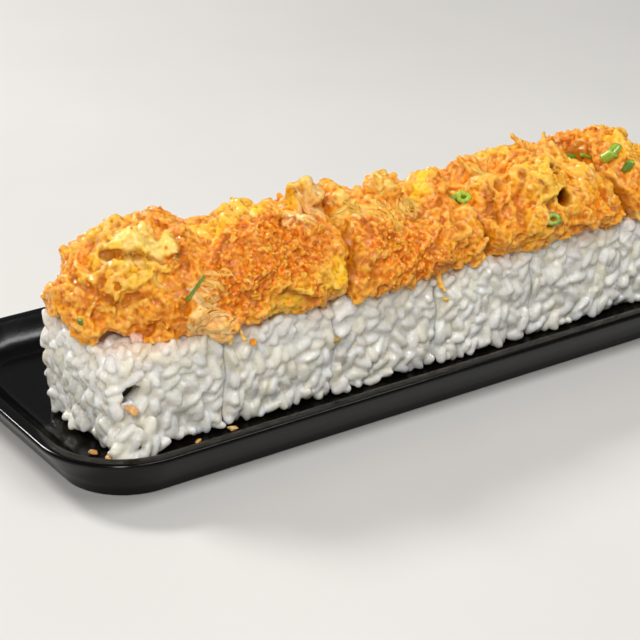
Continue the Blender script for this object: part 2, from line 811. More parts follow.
HEAP_CENTRE = 36.0
HEAP_NODULES = 170
HEAP_STATIONS = [-3.5, 0, 6, 12, 18, 28, 36, 46, 60, 68, 76, 88, 104, 112, 122, 136, 152, 170, 182,
                 194, 203, 213]
HEAP_TOP = [41, 43, 48, 53, 56, 55, 52, 51, 51, 50, 53, 48, 46, 47, 45, 46, 48, 48, 50, 44, 39, 35]
HEAP_FRONT = [20, 15, 10, 7, 3, -1, -3, -3, -3, -3, -4, -4, -4, -3, -3, -4, -3, -4, -3, 0, 5, 18]
HEAP_BACK = [26, 33, 38, 41, 43, 44, 43, 43, 43, 42, 43, 43, 44, 43, 43, 43, 43, 44, 42, 42, 38, 22]
HEAP_LOW = [37, 35, 30, 28, 28, 27, 27, 27, 27, 27, 26, 26, 26, 26, 26, 27, 27, 26, 27, 28, 29, 30]
LUMPS = [
    (4, 20, 41, 6.5, 9, 5), (18, 20, 51.2, 9, 9, 6), (11, 13, 45, 8, 6, 6), (20, 6, 38, 7, 5, 7),
    (1, 13, 33, 4, 4, 5), (28, 26, 52.2, 7, 9, 4.6),
    (34, -2, 31, 3, 3, 6), (45, 7, 43, 13, 11, 11), (52, 17, 51, 10, 9, 5), (58, 1, 37, 7, 6, 7),
    (72, 20, 54, 4, 5, 5), (64, 9, 43, 6, 8, 9),
    (80, 21, 51, 6, 8, 6), (84, 6, 40, 11, 10, 10), (100, 21, 50, 5, 5, 4.5), (103, 1, 34, 6, 5, 7),
    (115, 19, 47, 6, 8, 6), (119, 4, 38, 7, 7, 8), (130, 10, 43, 7, 9, 7), (133, 24, 46, 6, 7, 6),
    (146, 9, 44, 10, 10, 8), (150, 22, 48, 8, 8, 4), (160, 5, 38, 8, 8, 8),
    (180, 18, 46, 10, 11, 7),
    (184, 4, 36, 8, 7, 7), (198, 18, 36, 9, 13, 7),
]
SHOULDER = 14
GROOVES = [(77.5, -0.2, 3.4), (121, 0.1, 3.6), (169, 0.37, 3)]
# Pits: x, angle and radius; their depth in radii, and how they lean toward the front left.
PIT_DEPTH = 2.6
PIT_LEAN = np.array([0.4, 0.45, -0.25])
PITS = [(151.2, 161, 2.8), (150.7, 137, 2.1), (172.4, 168, 2.2)]
# Strands that stand up or hang: x, angle, way and width, which is widened by STRAND_WIDTH.
STRAND_WIDTH = 1.25
STRANDS = [(154, 97, (-4, 3, 5.5), 1.9), (160, 94, (1, 2, 5), 1.9), (130, 90, (-3, 1, 4), 1.2),
           (140, 80, (0, 1, 3.5), 1.4), (105, 196, (0.6, -1.4, -4), 1.7),
           (178.5, 190, (1, -1.4, -2.6), 1.6), (97.4, 94, (-1, 0, 3), 2.4), (75, 97, (-2, 0, 4), 5),
           (32, 188, (2, -1.2, -4.5), 1.7), (36, 186, (1, -1.5, -5), 1.5),
           (29.5, 190, (1.5, -1, -3.5), 1.5)]
# Creases between the heap's chunks: (x, angle) points, depth and width.
CREASES = [
    ([(8, 111), (12.5, 130), (18.7, 134), (25.4, 140)], 2.0, 0.9),
    ([(0.8, 117), (2.6, 148), (4.8, 157), (8.5, 167)], 1.2, 0.9),
    ([(8.5, 167), (14.7, 159), (16.9, 175), (15.3, 191)], 1.6, 0.9),
    ([(27.9, 117), (25.4, 144), (23, 163), (22, 182)], 1.5, 1.0),
    ([(6.8, 126), (3.9, 141), (1, 157)], 1.1, 0.8),
    ([(53, 179), (55.3, 181), (60.4, 188)], 2.6, 1.3),
    ([(39.6, 129), (34.1, 142), (32, 158)], 0.9, 0.8),
    ([(101.3, 184), (105, 190), (109.5, 194)], 2.2, 1.2),
    ([(140.1, 134), (133.6, 165), (133, 182)], 1.5, 0.9),
    ([(138.7, 117), (127.2, 147), (124.9, 167)], 1.5, 0.9),
    ([(146.6, 162), (141.1, 178)], 1.8, 1.0),
    ([(126.5, 140), (126.4, 152), (125, 168)], 3.2, 1.6),
    ([(153.1, 190), (164.2, 198), (168.4, 195)], 1.8, 1.1),
    ([(80.7, 131), (82.3, 151), (87.1, 157), (97.5, 151)], 1.3, 0.9),
    ([(94.9, 112), (97.5, 140), (104.2, 142), (113, 131)], 1.4, 0.9),
    ([(77.2, 167), (81.1, 176), (79.4, 188)], 1.3, 0.9),
    ([(172.1, 108), (169.8, 140), (165.7, 169), (168, 182)], 1.2, 0.9),
    ([(51.9, 116), (59.2, 121), (69.6, 111), (72.2, 132)], 1.4, 0.9),
    ([(104.9, 164), (99.6, 175), (102.1, 184)], 0.8, 0.8),
    ([(185, 110), (190, 140), (186, 170)], 1.5, 1.0), ([(10, 50), (25, 40), (38, 55)], 1.5, 1.0),
    ([(45, 70), (50, 40), (46, 10)], 1.6, 1.0), ([(60, 40), (72, 25)], 1.4, 0.9),
    ([(88, 65), (95, 40), (90, 10)], 1.6, 1.0), ([(105, 50), (115, 25), (112, 0)], 1.4, 1.0),
    ([(132, 60), (140, 30), (134, 5)], 1.6, 1.0), ([(150, 40), (160, 20)], 1.4, 0.9),
    ([(178, 60), (188, 35), (184, 5)], 1.6, 1.0),
]
# Green onion: x, angle, lift, length, width, the stalk's way, and how lime it is.
ONIONS = [(26.7, 161, 0.3, 8, 1.3, (1, 0.1, 0.9), 0.15),
          (-2, 186, 0.3, 4.5, 1.5, (0.4, 0.7, -0.9), 0.1),
          (121.5, 118, 1.5, 3.6, 3, (0.9, -0.3, 0.3), 0.4),
          (123.7, 136, 1.1, 3.6, 4.8, (-0.5, -0.5, 0.8), 0.85),
          (169, 96, 2.6, 5.2, 3.1, (1, 0.1, -0.25), 0.1),
          (175, 135, 1.1, 4.2, 4.8, (0.5, -0.6, 0.6), 0.7),
          (177, 130, 0.8, 4, 3.6, (1, 0.3, 0.4), 0.6),
          (172, 118, 1.2, 5, 1.3, (1, -0.2, -0.4), 0.35),
          (178.2, 151, 0.9, 3.6, 3.4, (0.3, -0.4, 0.9), 0.15),
          (143.4, 175, 1.0, 4, 4.9, (-0.6, -0.6, 0.5), 0.2)]


def station(values, x):
    return np.interp(x, HEAP_STATIONS, values)


def heap_nodules():
    """The seeded nodules that the frame's solid has, drawn in the same order."""
    draw = random.Random(7)
    nodules = []
    for number in range(HEAP_NODULES):
        x = -4 + 214 * (number + draw.random()) / HEAP_NODULES
        angle = math.radians(draw.uniform(-26, 206))
        front, back = station(HEAP_FRONT, x), station(HEAP_BACK, x)
        half, height = (back - front) / 2, station(HEAP_TOP, x) - HEAP_CENTRE
        size = draw.uniform(2.4, 5)
        y = (front + back) / 2 + (half - 0.5 * size) * math.cos(angle)
        z = HEAP_CENTRE + (height - 0.5 * size) * math.sin(angle)
        nodules.append((x, y, z, size, size, size * draw.uniform(0.8, 1.1)))
    return nodules


def heap_axis(x):
    """The heap's middle and centre heights, (y, z), at each x."""
    middle = (station(HEAP_FRONT, x) + station(HEAP_BACK, x)) / 2
    return middle, np.clip(HEAP_CENTRE, station(HEAP_LOW, x) + 2, station(HEAP_TOP, x) - 2)


def heap_reach(x, angle):
    """How far the topping reaches from its axis at each x and angle, on arrays that broadcast."""
    middle, centre = heap_axis(x)
    half = (station(HEAP_BACK, x) - station(HEAP_FRONT, x)) / 2
    up, down = station(HEAP_TOP, x) - centre, centre - station(HEAP_LOW, x)
    across, rise = np.cos(angle), np.sin(angle)
    above = ((np.abs(across) / half) ** 2.2 + (np.abs(rise) / up) ** 2.2) ** (-1 / 2.2)
    below = ((np.abs(across) / half) ** 4 + (np.abs(rise) / down) ** 4) ** (-1 / 4)
    reach = np.where(rise >= 0, above, below)
    for lump_x, lump_y, lump_z, size_x, size_y, size_z in LUMPS + heap_nodules():
        share = 1 - ((x - lump_x) / size_x) ** 2
        start_y, start_z = (middle - lump_y) / size_y, (centre - lump_z) / size_z
        step_y, step_z = across / size_y, rise / size_z
        a = step_y ** 2 + step_z ** 2
        b = start_y * step_y + start_z * step_z
        c = start_y ** 2 + start_z ** 2 - share
        inside = b ** 2 - a * c
        exit_at = (-b + np.sqrt(np.maximum(inside, 0))) / a
        hit = (inside > 0) & (share > 0) & (exit_at > 0)
        reach = np.where(hit, np.maximum(reach, exit_at), reach)
    for groove_x, slope, depth in GROOVES:
        line = groove_x + slope * (SHOULDER - rise * reach)
        reach = reach - depth * np.exp(-((x - line) / 2.6) ** 2) * (rise > -0.35)
    return reach


# The reach is worked out once on a grid of x and angle, and read from it afterwards.
STEP_X, STEP_TURN = 0.5, 1.5
TABLE_X = np.arange(-6, 216, STEP_X)
TABLE_TURN = np.arange(0, 361.5, STEP_TURN)
TABLE = heap_reach(TABLE_X[:, None], np.radians(TABLE_TURN)[None, :])


def reach_at(x, degrees):
    row = np.clip((np.asarray(x, float) - TABLE_X[0]) / STEP_X, 0, len(TABLE_X) - 1.001)
    column = np.asarray(degrees, float) % 360 / STEP_TURN
    low_row, low_column = row.astype(int), column.astype(int)
    part_row, part_column = row - low_row, column - low_column
    near = TABLE[low_row, low_column] * (1 - part_column) + (
        TABLE[low_row, low_column + 1] * part_column)
    far = TABLE[low_row + 1, low_column] * (1 - part_column) + (
        TABLE[low_row + 1, low_column + 1] * part_column)
    return near * (1 - part_row) + far * part_row


def on_heap(x, degrees, inward=0.0):
    """Points on the heap's surface, or as far under it as inward says."""
    x, degrees = np.broadcast_arrays(np.asarray(x, float), np.asarray(degrees, float))
    middle, centre = heap_axis(x)
    out = reach_at(x, degrees) - inward
    turn = np.radians(degrees)
    points = np.stack((x, middle + out * np.cos(turn), centre + out * np.sin(turn)), axis=-1)
    flat = points.reshape(-1, 3)
    wobble = np.array([noise.noise_vector(Vector(point) / 6) for point in flat]) * 1.5
    return (flat + wobble).reshape(points.shape)


def heap_frame(x, degrees):
    """The outward way on the heap's surface."""
    along = on_heap(x + 0.7, degrees) - on_heap(x - 0.7, degrees)
    around = on_heap(x, degrees + 2.5) - on_heap(x, degrees - 2.5)
    return units(np.cross(along, around))


# Patches of the heap: x, angle, radius and kind, in the order that they cover each other.
PATCHES = [
    (2, 100, 8, "orange"), (3, 150, 8, "orange"), (12, 158, 8, "light"), (20, 178, 8, "orange"),
    (8, 118, 8, "yellow"), (14, 134, 7, "yellow"), (28, 104, 7, "orange"), (26, 142, 6, "roe"),
    (17, 117, 8, "cream"), (23, 122, 5, "cream"), (33, 172, 8, "flake"), (30, 186, 6, "flake"),
    (46, 145, 17, "roe"), (40, 162, 10, "roe"), (58, 142, 14, "roe"), (62, 165, 9, "roe"),
    (42, 98, 7, "yellow"), (53, 95, 6, "yellow"), (52, 186, 7, "yellow"), (68, 176, 6, "yellow"),
    (71, 100, 6, "flake"), (66, 116, 5, "flake"), (67, 88, 6, "yellow"),
    (88, 160, 12, "roe"), (98, 172, 9, "roe"), (84, 190, 6, "orange"), (108, 150, 8, "orange"),
    (84, 116, 7, "band"), (92, 122, 7, "band"), (103, 125, 6, "band"), (95, 148, 4, "band"),
    (112, 99, 7, "knob"), (99, 96, 4, "band"),
    (120, 112, 6, "orange"), (127, 128, 8, "light"), (131, 156, 9, "orange"), (133, 108, 5, "band"),
    (140, 130, 8, "light"), (148, 120, 7, "yellow"), (146, 152, 7, "yellow"),
    (157, 145, 9, "light"),
    (150, 104, 8, "orange"), (160, 110, 8, "light"), (166, 152, 8, "light"),
    (138, 180, 6, "light"), (164, 178, 6, "orange"),
    (176, 120, 8, "orange"), (186, 130, 9, "yellow"), (182, 162, 8, "orange"),
    (30, 50, 12, "roe"), (55, 60, 10, "yellow"), (80, 45, 12, "roe"), (105, 60, 9, "band"),
    (125, 40, 12, "roe"), (150, 50, 10, "yellow"), (175, 45, 12, "roe"), (195, 90, 9, "yellow"),
    (60, 15, 10, "flake"), (140, 10, 10, "flake"), (15, 60, 9, "yellow"), (200, 150, 8, "roe"),
]
KIND_TINT = {
    "base": (0.9, 0.32, 0.008), "orange": (0.9, 0.28, 0.006), "roe": (0.9, 0.25, 0.004),
    "yellow": (0.96, 0.52, 0.015), "cream": (0.98, 0.7, 0.15), "band": (0.97, 0.62, 0.14),
    "flake": (0.99, 0.6, 0.25), "knob": (0.96, 0.62, 0.03), "light": (0.95, 0.42, 0.02),
}
PALE = np.array([0.99, 0.64, 0.28])


def heap_turn(points):
    """The angle of each point round the heap's axis, in degrees from the back."""
    middle, centre = heap_axis(points[:, 0])
    return np.degrees(np.arctan2(points[:, 2] - centre, points[:, 1] - middle)) % 360


def patch_weights(points):
    """For each kind of patch, how strongly each point belongs to it, the last patch on top."""
    degrees = heap_turn(points)
    ragged = waves(points, 3.4, 1) + 0.6 * waves(points, 1.3, 2)
    weights = {kind: np.zeros(len(points)) for kind in KIND_TINT}
    weights["base"] += 1
    for patch_x, patch_turn, size, kind in PATCHES:
        turn = (degrees - patch_turn + 180) % 360 - 180
        away = np.hypot(points[:, 0] - patch_x, turn * 0.36) / size
        share = np.clip((1.1 - away + 0.6 * ragged) * 2.5, 0, 1)
        for other in weights:
            weights[other] = weights[other] * (1 - share)
        weights[kind] = weights[kind] + share
    return weights


def sweep(path, outward, widths, heights, sides=8):
    """A closed form of oval sections along a path, flat to the outward way, and its faces."""
    tangent = units(np.gradient(path, axis=0))
    side = units(np.cross(outward, tangent))
    up = np.cross(tangent, side)
    angles = np.linspace(0, math.tau, sides, endpoint=False)
    rows = (path[:, None] + side[:, None] * (widths[:, None] / 2 * np.cos(angles))[..., None]
            + up[:, None] * (heights[:, None] / 2 * np.sin(angles))[..., None])
    tip = tangent[0] * widths[0] * 0.3, tangent[-1] * widths[-1] * 0.3
    points = np.vstack((rows.reshape(-1, 3), path[0] - tip[0], path[-1] + tip[1]))
    return points, tube_faces(len(path), sides)


# Flakes of each kind: how many of ten tries are kept, length, width, thickness, paleness.
FLAKES = {
    "base": (7, (3, 7), (1.6, 3.0), 1.3, 0.15), "orange": (7, (3, 7), (1.6, 3.2), 1.4, 0.1),
    "roe": (4, (2, 4.5), (1.2, 2.4), 1.2, 0.06), "yellow": (6, (4, 9), (2, 4), 1.4, 0.25),
    "cream": (7, (6, 10), (4, 6.5), 1.5, 0.35), "band": (9, (5, 9), (1.1, 2.2), 1.0, 0.45),
    "flake": (10, (5, 9), (1.2, 2.6), 1.1, 0.8), "knob": (0, (3, 5), (2, 3), 1.2, 0.3),
    "light": (7, (3, 8), (1.4, 3.0), 1.4, 0.3),
}


# Which way the flakes of a kind run, in degrees from X to the way round the heap.
HEADINGS = {"flake": 62, "band": 62, "cream": 15}


def groove_x(index, degrees):
    """The x of a groove, or of the heap's end, at each angle round the heap."""
    if index < 0:
        return np.full(np.shape(degrees), -3.5)
    if index == len(GROOVES):
        return np.full(np.shape(degrees), 213.0)
    start, slope, _ = GROOVES[index]
    height = reach_at(start, degrees) * np.sin(np.radians(degrees))
    return start + slope * (SHOULDER - height)


def scatter(draw, tries, reach_x, reach_turn):
    """Seeded places on the heap: x and angle."""
    xs = np.array([draw.uniform(*reach_x) for _ in range(tries)])
    return xs, np.array([draw.uniform(*reach_turn) for _ in range(tries)])


def laid(x, degrees, curve, length, shares):
    """The x and angle along a path over the heap, which heads as the curve says."""
    reach = float(reach_at(x, degrees))
    return (x + np.cos(curve) * length * shares,
            degrees + np.degrees(np.sin(curve) * length * shares / reach))


def mass_flakes(index, draw):
    """Flakes and shreds laid on one mass: their forms, and points that hold their colours."""
    first, last = groove_x(index - 1, 90.0), groove_x(index, 90.0)
    tries = int((last - first) * 7.5)
    xs, turns = scatter(draw, tries, (first - 6, last + 6), (-26, 206))
    roots = on_heap(xs, turns)
    weights = patch_weights(roots)
    kinds = list(KIND_TINT)
    strongest = np.argmax(np.stack([weights[kind] for kind in kinds]), axis=0)
    flow = waves(roots, 15, 5)
    forms, samples = [], []
    for number in range(tries):
        kind = kinds[strongest[number]]
        chance, lengths, widths, thickness, paleness = FLAKES[kind]
        if draw.random() * 10 > chance:
            continue
        fibrous = kind in HEADINGS
        heading = math.radians(HEADINGS.get(kind, 80)) + flow[number] * 3.2
        heading += draw.gauss(0, 0.3 if fibrous else 0.8)
        length, width = draw.uniform(*lengths), draw.uniform(*widths)
        shares = np.linspace(-0.5, 0.5, 6)
        curve = heading + draw.gauss(0, 0.5) * shares
        path_x, path_turn = laid(xs[number], turns[number], curve, length, shares)
        margin = 0.9
        if (path_x < groove_x(index - 1, path_turn) + margin).any():
            continue
        if (path_x > groove_x(index, path_turn) - margin).any():
            continue
        lift = draw.uniform(-0.3, 0.95) * thickness
        ends = np.array([draw.uniform(-0.9, 1.0), 0.1, 0, 0, 0.1, draw.uniform(-0.9, 1.0)])
        path = on_heap(path_x, path_turn, 1.2 - lift + ends * 0.8)
        outward = heap_frame(path_x, path_turn)
        taper = np.array([0.5, 0.88, 1, 1, 0.85, 0.45]) * np.array(
            [draw.uniform(0.85, 1.15) for _ in shares])
        forms.append(sweep(path, outward, width * taper, thickness * taper))
        tint = np.array(KIND_TINT[kind]) * draw.uniform(0.86, 1.08)
        tint = tint + (PALE - tint) * paleness * draw.uniform(0.3, 1)
        samples += [(point, tint, width * 0.5) for point in path]
    return forms, samples


def mass_crumbs(index, draw):
    """Small round crumbs, most of them where there is roe."""
    first, last = groove_x(index - 1, 90.0), groove_x(index, 90.0)
    tries = int((last - first) * 9)
    xs, turns = scatter(draw, tries, (first - 5, last + 5), (-26, 206))
    roots = on_heap(xs, turns, 0.8)
    weights = patch_weights(roots)
    crumbs, samples = [], []
    for number in range(tries):
        roe = weights["roe"][number]
        if draw.random() > 0.2 + 0.75 * roe - weights["cream"][number] - weights["knob"][number]:
            continue
        inside = (xs[number] > groove_x(index - 1, turns[number]) + 0.8
                  and xs[number] < groove_x(index, turns[number]) - 0.8
                  and roots[number, 2] > 30.5)
        if not inside:
            continue
        size = 0.55 + 0.85 * draw.random() ** 1.6
        radii = (size * draw.uniform(0.8, 1.3), size * draw.uniform(0.7, 1), size)
        crumbs.append((roots[number], radii, random_turn(draw)))
        tint = np.array(KIND_TINT["roe" if roe > 0.4 else "orange"])
        tint = tint * draw.uniform(0.85, 1.1) + PALE * 0.25 * (draw.random() < 0.12)
        samples.append((roots[number], tint, size))
    return crumbs, samples


def random_turn(draw):
    turn = Matrix.Rotation(draw.uniform(0, math.tau), 3, "X")
    turn = turn @ Matrix.Rotation(draw.uniform(0, math.tau), 3, "Y")
    return np.array(turn @ Matrix.Rotation(draw.uniform(0, math.tau), 3, "Z"))


def ball_shape(subdivisions):
    ball = bmesh.new()
    bmesh.ops.create_icosphere(ball, subdivisions=subdivisions, radius=1)
    points = np.array([vert.co[:] for vert in ball.verts])
    faces = np.array([[vert.index for vert in face.verts] for face in ball.faces])
    ball.free()
    return points, faces


def balls(name, items, subdivisions=2):
    """Many small balls, each (centre, three radii, turn), as one mesh object."""
    shape, corners = ball_shape(subdivisions)
    points = [shape * np.array(radii) @ turn.T + centre for centre, radii, turn in items]
    faces = [corners + number * len(shape) for number in range(len(items))]
    return build(name, np.vstack(points), np.vstack(faces))


def forms_object(name, forms):
    points, faces, base = [], [], 0
    for form, corners in forms:
        points.append(form)
        faces.append(np.array(corners) + base)
        base += len(form)
    return build(name, np.vstack(points), np.vstack(faces))


def mass_body(index):
    """The closed body of one mass, a little under its final surface."""
    turns = np.linspace(0, 360, 110, endpoint=False)
    start, end = groove_x(index - 1, turns), groove_x(index, turns)
    rings = max(24, int((end - start).mean() / 1.1))
    shares = np.linspace(0, 1, rings)[:, None]
    xs = start + (end - start) * shares
    inward = 1.2 + 1.1 * np.exp(-((xs - start) / 1.4) ** 2) * (index > 0)
    inward = inward + 1.1 * np.exp(-((end - xs) / 1.4) ** 2) * (index < len(GROOVES))
    points = on_heap(xs, np.broadcast_to(turns, xs.shape), inward)
    middle = [points[0].mean(axis=0), points[-1].mean(axis=0)]
    return build("mass", np.vstack((points.reshape(-1, 3), *middle)),
                 tube_faces(rings, len(turns)))


def mass_strands(index, draw):
    forms, samples = [], []
    for x, degrees, way, width in STRANDS:
        width *= STRAND_WIDTH
        if not groove_x(index - 1, degrees) <= x < groove_x(index, degrees):
            continue
        root = on_heap(x, degrees, 2.0)
        shares = np.linspace(0, 1, 8)[:, None]
        side = np.array([draw.uniform(-1, 1), draw.uniform(-1, 1), draw.uniform(-0.4, 0.4)])
        path = root + np.array(way) * 1.3 * shares + side * 0.9 * np.sin(shares * 3)
        outward = np.tile(np.cross(way, (0.3, 0.9, 0.2)), (8, 1)).astype(float)
        taper = np.array([1.5, 1.25, 1.05, 1, 1, 0.95, 0.9, 0.75])
        forms.append(sweep(path, outward, width * taper, width * 0.75 * taper))
        samples += [(point, np.array([0.97, 0.58, 0.14]), width * 0.5) for point in path[2:]]
    return forms, samples


# The heap's small folds: height, size and seed.
RELIEF = [(0.6, 2.6, 11), (0.48, 1.4, 12), (0.28, 0.85, 13)]
TOPPING_VOXEL = 0.45
TOPPING_KEPT = 0.85
MASS_NAMES = ["topping_near", "topping_middle", "topping_far", "topping_end"]


def topping_mass(index, look):
    """One mass of the heap: body, flakes, crumbs and strands fused into one surface."""
    draw = random.Random(50 + index)
    flakes, samples = mass_flakes(index, draw)
    crumbs, crumb_samples = mass_crumbs(index, draw)
    strands, strand_samples = mass_strands(index, draw)
    samples += crumb_samples + strand_samples
    body = join(MASS_NAMES[index], [mass_body(index), forms_object("flakes", flakes + strands),
                                    balls("crumbs", crumbs)])
    fuse(body, TOPPING_VOXEL)
    neighbours = Neighbours(body)
    places = neighbours.smooth(mesh_points(body), 1, 0.4)
    weights = patch_weights(places)
    normals = vertex_normals(body)
    bead, bead_share = granules(places, 1.35, 4)
    smooth_part = np.clip(weights["cream"] + weights["knob"] + 0.3 * weights["light"], 0, 1)
    roe = np.clip(weights["roe"] + 0.3 * weights["orange"] + 0.2 * weights["base"], 0, 1)
    relief = sum(height * waves(places, size, seed) for height, size, seed in RELIEF)
    relief = relief * (1 - 0.35 * smooth_part) + roe * 0.5 * (0.5 - np.clip(bead, 0, 0.9))
    creased, sunk = crease_share(places, *CREASE_SAMPLES)
    relief -= sunk
    places = places + normals * relief[:, None]
    pit = pit_share(places, index)
    places = sink_pits(places, index)
    places = clear_of_rice(places)
    set_points(body, places)
    tints = heap_tints(places, weights, samples, bead_share, roe)
    fibrous = weights["flake"] + weights["band"]
    tints = shade(tints, places, neighbours, vertex_normals(body), pit, index, 1 - 0.5 * fibrous)
    tints = darker(tints, creased, (0.2, 0.36, 0.6))
    tints = np.maximum(tints, np.array([0.52, 0.16, 0.003]) * (1 - pit[:, None]))
    paint(body, "tint", tints)
    paint(body, "mask", np.repeat(roe[:, None], 3, axis=1))
    thin_flats(body, TOPPING_KEPT)
    body.data.shade_smooth()
    finish_piece(body, look, "topping", "topping")
    return body


def crease_samples():
    """Points along every crease, half a millimetre apart or so, each with its depth and width."""
    tree_points, sizes = [], []
    for corners, depth, width in CREASES:
        for (start_x, start_turn), (end_x, end_turn) in zip(corners, corners[1:]):
            shares = np.linspace(0, 1, 24)
            path = on_heap(start_x + (end_x - start_x) * shares,
                           start_turn + (end_turn - start_turn) * shares)
            tree_points += list(path)
            sizes += [(depth, width)] * len(path)
    return np.array(tree_points), np.array(sizes)


def crease_share(places, samples, sizes):
    """How deep in a crease each point lies: 1 along its line, and how far it sinks there."""
    tree = kdtree.KDTree(len(samples))
    for number, sample in enumerate(samples):
        tree.insert(sample, number)
    tree.balance()
    wander = 0.55 * np.stack([waves(places, 3.1, seed) for seed in (51, 52, 53)], axis=1)
    found = [tree.find(place) for place in places + wander]
    owner = np.array([number for _, number, _ in found])
    away = np.array([distance for _, _, distance in found])
    share = np.exp(-(np.maximum(away - 0.7, 0) / (0.8 * sizes[owner, 1])) ** 2)
    return share, 0.62 * share * sizes[owner, 0]


CREASE_SAMPLES = crease_samples()


def mass_pits(index):
    for x, degrees, size in PITS:
        if groove_x(index - 1, degrees) <= x < groove_x(index, degrees):
            mouth = on_heap(x, degrees)
            middle, centre = heap_axis(x)
            inward = unit(np.array([x, middle, centre]) - mouth) + PIT_LEAN
            yield mouth, unit(inward), size


def pit_sides(places, mouth, inward):
    """How far each point lies from a pit's mouth along its way in, and off that line."""
    away = places - mouth
    depth = away @ inward
    return np.abs(depth), np.linalg.norm(away - depth[:, None] * inward, axis=1)


def pit_share(places, index):
    """How far inside a pit each point lies, for its colour."""
    share = np.zeros(len(places))
    for mouth, inward, size in mass_pits(index):
        depth, off = pit_sides(places, mouth, inward)
        share = np.maximum(share, np.clip(2.2 - 2 * off / size, 0, 1) * (depth < 3.5))
    return share


def sink_pits(places, index):
    for mouth, inward, size in mass_pits(index):
        depth, off = pit_sides(places, mouth, inward)
        pull = np.clip(1 - (off / size) ** 2, 0, 1) ** 0.55 * (depth < 4)
        places = places + inward * (pull * size * PIT_DEPTH)[:, None]
    return places


def clear_of_rice(places):
    """Lift what would lie inside the roll to just under its top."""
    inside = ((places[:, 0] > -0.4) & (places[:, 0] < ROLL_LENGTH + 0.4) & (places[:, 1] > -0.2)
              & (places[:, 1] < ROLL_WIDTH + 0.2) & (places[:, 2] < 29.2))
    lifted = places.copy()
    lifted[inside, 2] = 29.2 + 0.05 * (places[inside, 2] - 29.2)
    return lifted


def heap_tints(places, weights, samples, bead_share, roe):
    """The colour of each point: its patch's, and over it that of the flake it belongs to."""
    tints = sum(weights[kind][:, None] * np.array(KIND_TINT[kind]) for kind in KIND_TINT)
    tree = kdtree.KDTree(len(samples))
    for number, (point, _, _) in enumerate(samples):
        tree.insert(point, number)
    tree.balance()
    found = [tree.find(place) for place in places]
    owner = np.array([number for _, number, _ in found])
    away = np.array([distance for _, _, distance in found])
    own = np.array([tint for _, tint, _ in samples])[owner]
    size = np.array([width for _, _, width in samples])[owner]
    share = np.clip(1.6 - away / size, 0, 1)[:, None] * 0.85
    tints = tints * (1 - share) + own * share
    bead_tone = (0.84 + 0.3 * bead_share)[:, None]
    tints = tints * (1 - roe[:, None]) + tints * bead_tone * roe[:, None]
    pink = ((bead_share > 0.93) & (roe > 0.5))[:, None]
    tints = np.where(pink, tints + (np.array([0.95, 0.42, 0.2]) - tints) * 0.6, tints)
    spots = np.clip((waves(places, 2.1, 21) - 0.22) * 3.5, 0, 1)
    tints = toward(tints, spots, (0.97, 0.6, 0.08), 0.45)
    baked = np.clip((waves(places, 3.4, 41) - 0.16) * 3.5, 0, 1)
    baked = baked * (1 - 0.8 * weights["cream"] - 0.7 * weights["knob"])
    return toward(tints, baked, (0.66, 0.22, 0.004), 0.45)


def shade(tints, places, neighbours, normals, pit, index, strength):
    """Redder and darker in valleys, pits and grooves, and yellower on crests."""
    fine = neighbours.valleys(places, normals, 2)
    broad = neighbours.valleys(places, normals, 10)
    depth = np.clip(fine / 0.16, -1, 1) * 0.55 + np.clip(broad / 0.7, -1, 1) * 0.75
    tints = darker(tints, np.clip(depth, 0, 1) * strength, (0.38, 0.56, 0.85))
    tints = toward(tints, np.clip(-depth, 0, 1), (0.99, 0.66, 0.12), 0.5)
    degrees = heap_turn(places)
    for groove in (index - 1, index):
        if 0 <= groove < len(GROOVES):
            away = np.abs(places[:, 0] - groove_x(groove, degrees))
            tints = darker(tints, np.clip(1.4 - away / 1.2, 0, 1), (0.5, 0.64, 0.85))
    return np.clip(darker(tints, pit, (0.75, 0.9, 0.92)), 0, 1)


def topping_roe(masses, look):
    """Single eggs that stand out on the crumbly parts of the heap."""
    draw = random.Random(11)
    items, tints = [], []
    for body in masses:
        places, normals = mesh_points(body), vertex_normals(body)
        weights = patch_weights(places)
        share = weights["roe"] + 0.3 * weights["orange"] + 0.1
        for index in range(len(places)):
            if draw.random() > share[index] * 0.02 or places[index, 2] < 29:
                continue
            size = draw.uniform(0.28, 0.5)
            centre = places[index] + normals[index] * size * draw.uniform(-0.2, 0.5)
            items.append((centre, (size, size, size), np.identity(3)))
            tints.append(np.array([0.88, 0.26, 0.006]) * draw.uniform(0.85, 1.1)
                         + np.array([0.08, 0.26, 0.03]) * draw.random() ** 2)
    made = balls("topping_roe", items)
    paint(made, "tint", np.clip(np.repeat(np.array(tints), 42, axis=0), 0, 1))
    finish_piece(made, look, "topping", "topping")


class Skin:
    """The finished surface of the heap, for laying small things on it."""

    def __init__(self, bodies):
        points, corners, base = [], [], 0
        for body in bodies:
            body.data.calc_loop_triangles()
            flat = np.empty(len(body.data.loop_triangles) * 3, np.int32)
            body.data.loop_triangles.foreach_get("vertices", flat)
            corners.append(flat.reshape(-1, 3) + base)
            points.append(mesh_points(body))
            base += len(points[-1])
        self.tree = BVHTree.FromPolygons(np.vstack(points).tolist(), np.vstack(corners).tolist())

    def settle(self, x, degrees):
        """The place on the surface at x and an angle round the heap, and the way out of it."""
        middle, centre = heap_axis(x)
        turn = math.radians(degrees)
        way = np.array([0, math.cos(turn), math.sin(turn)])
        start = np.array([x, float(middle), float(centre)]) + way * 40
        place, normal, _, _ = self.tree.ray_cast(Vector(start), Vector(-way))
        if place is None:
            return None, way
        outward = way + 0.7 * np.array(normal)
        return np.array(place), unit(outward)


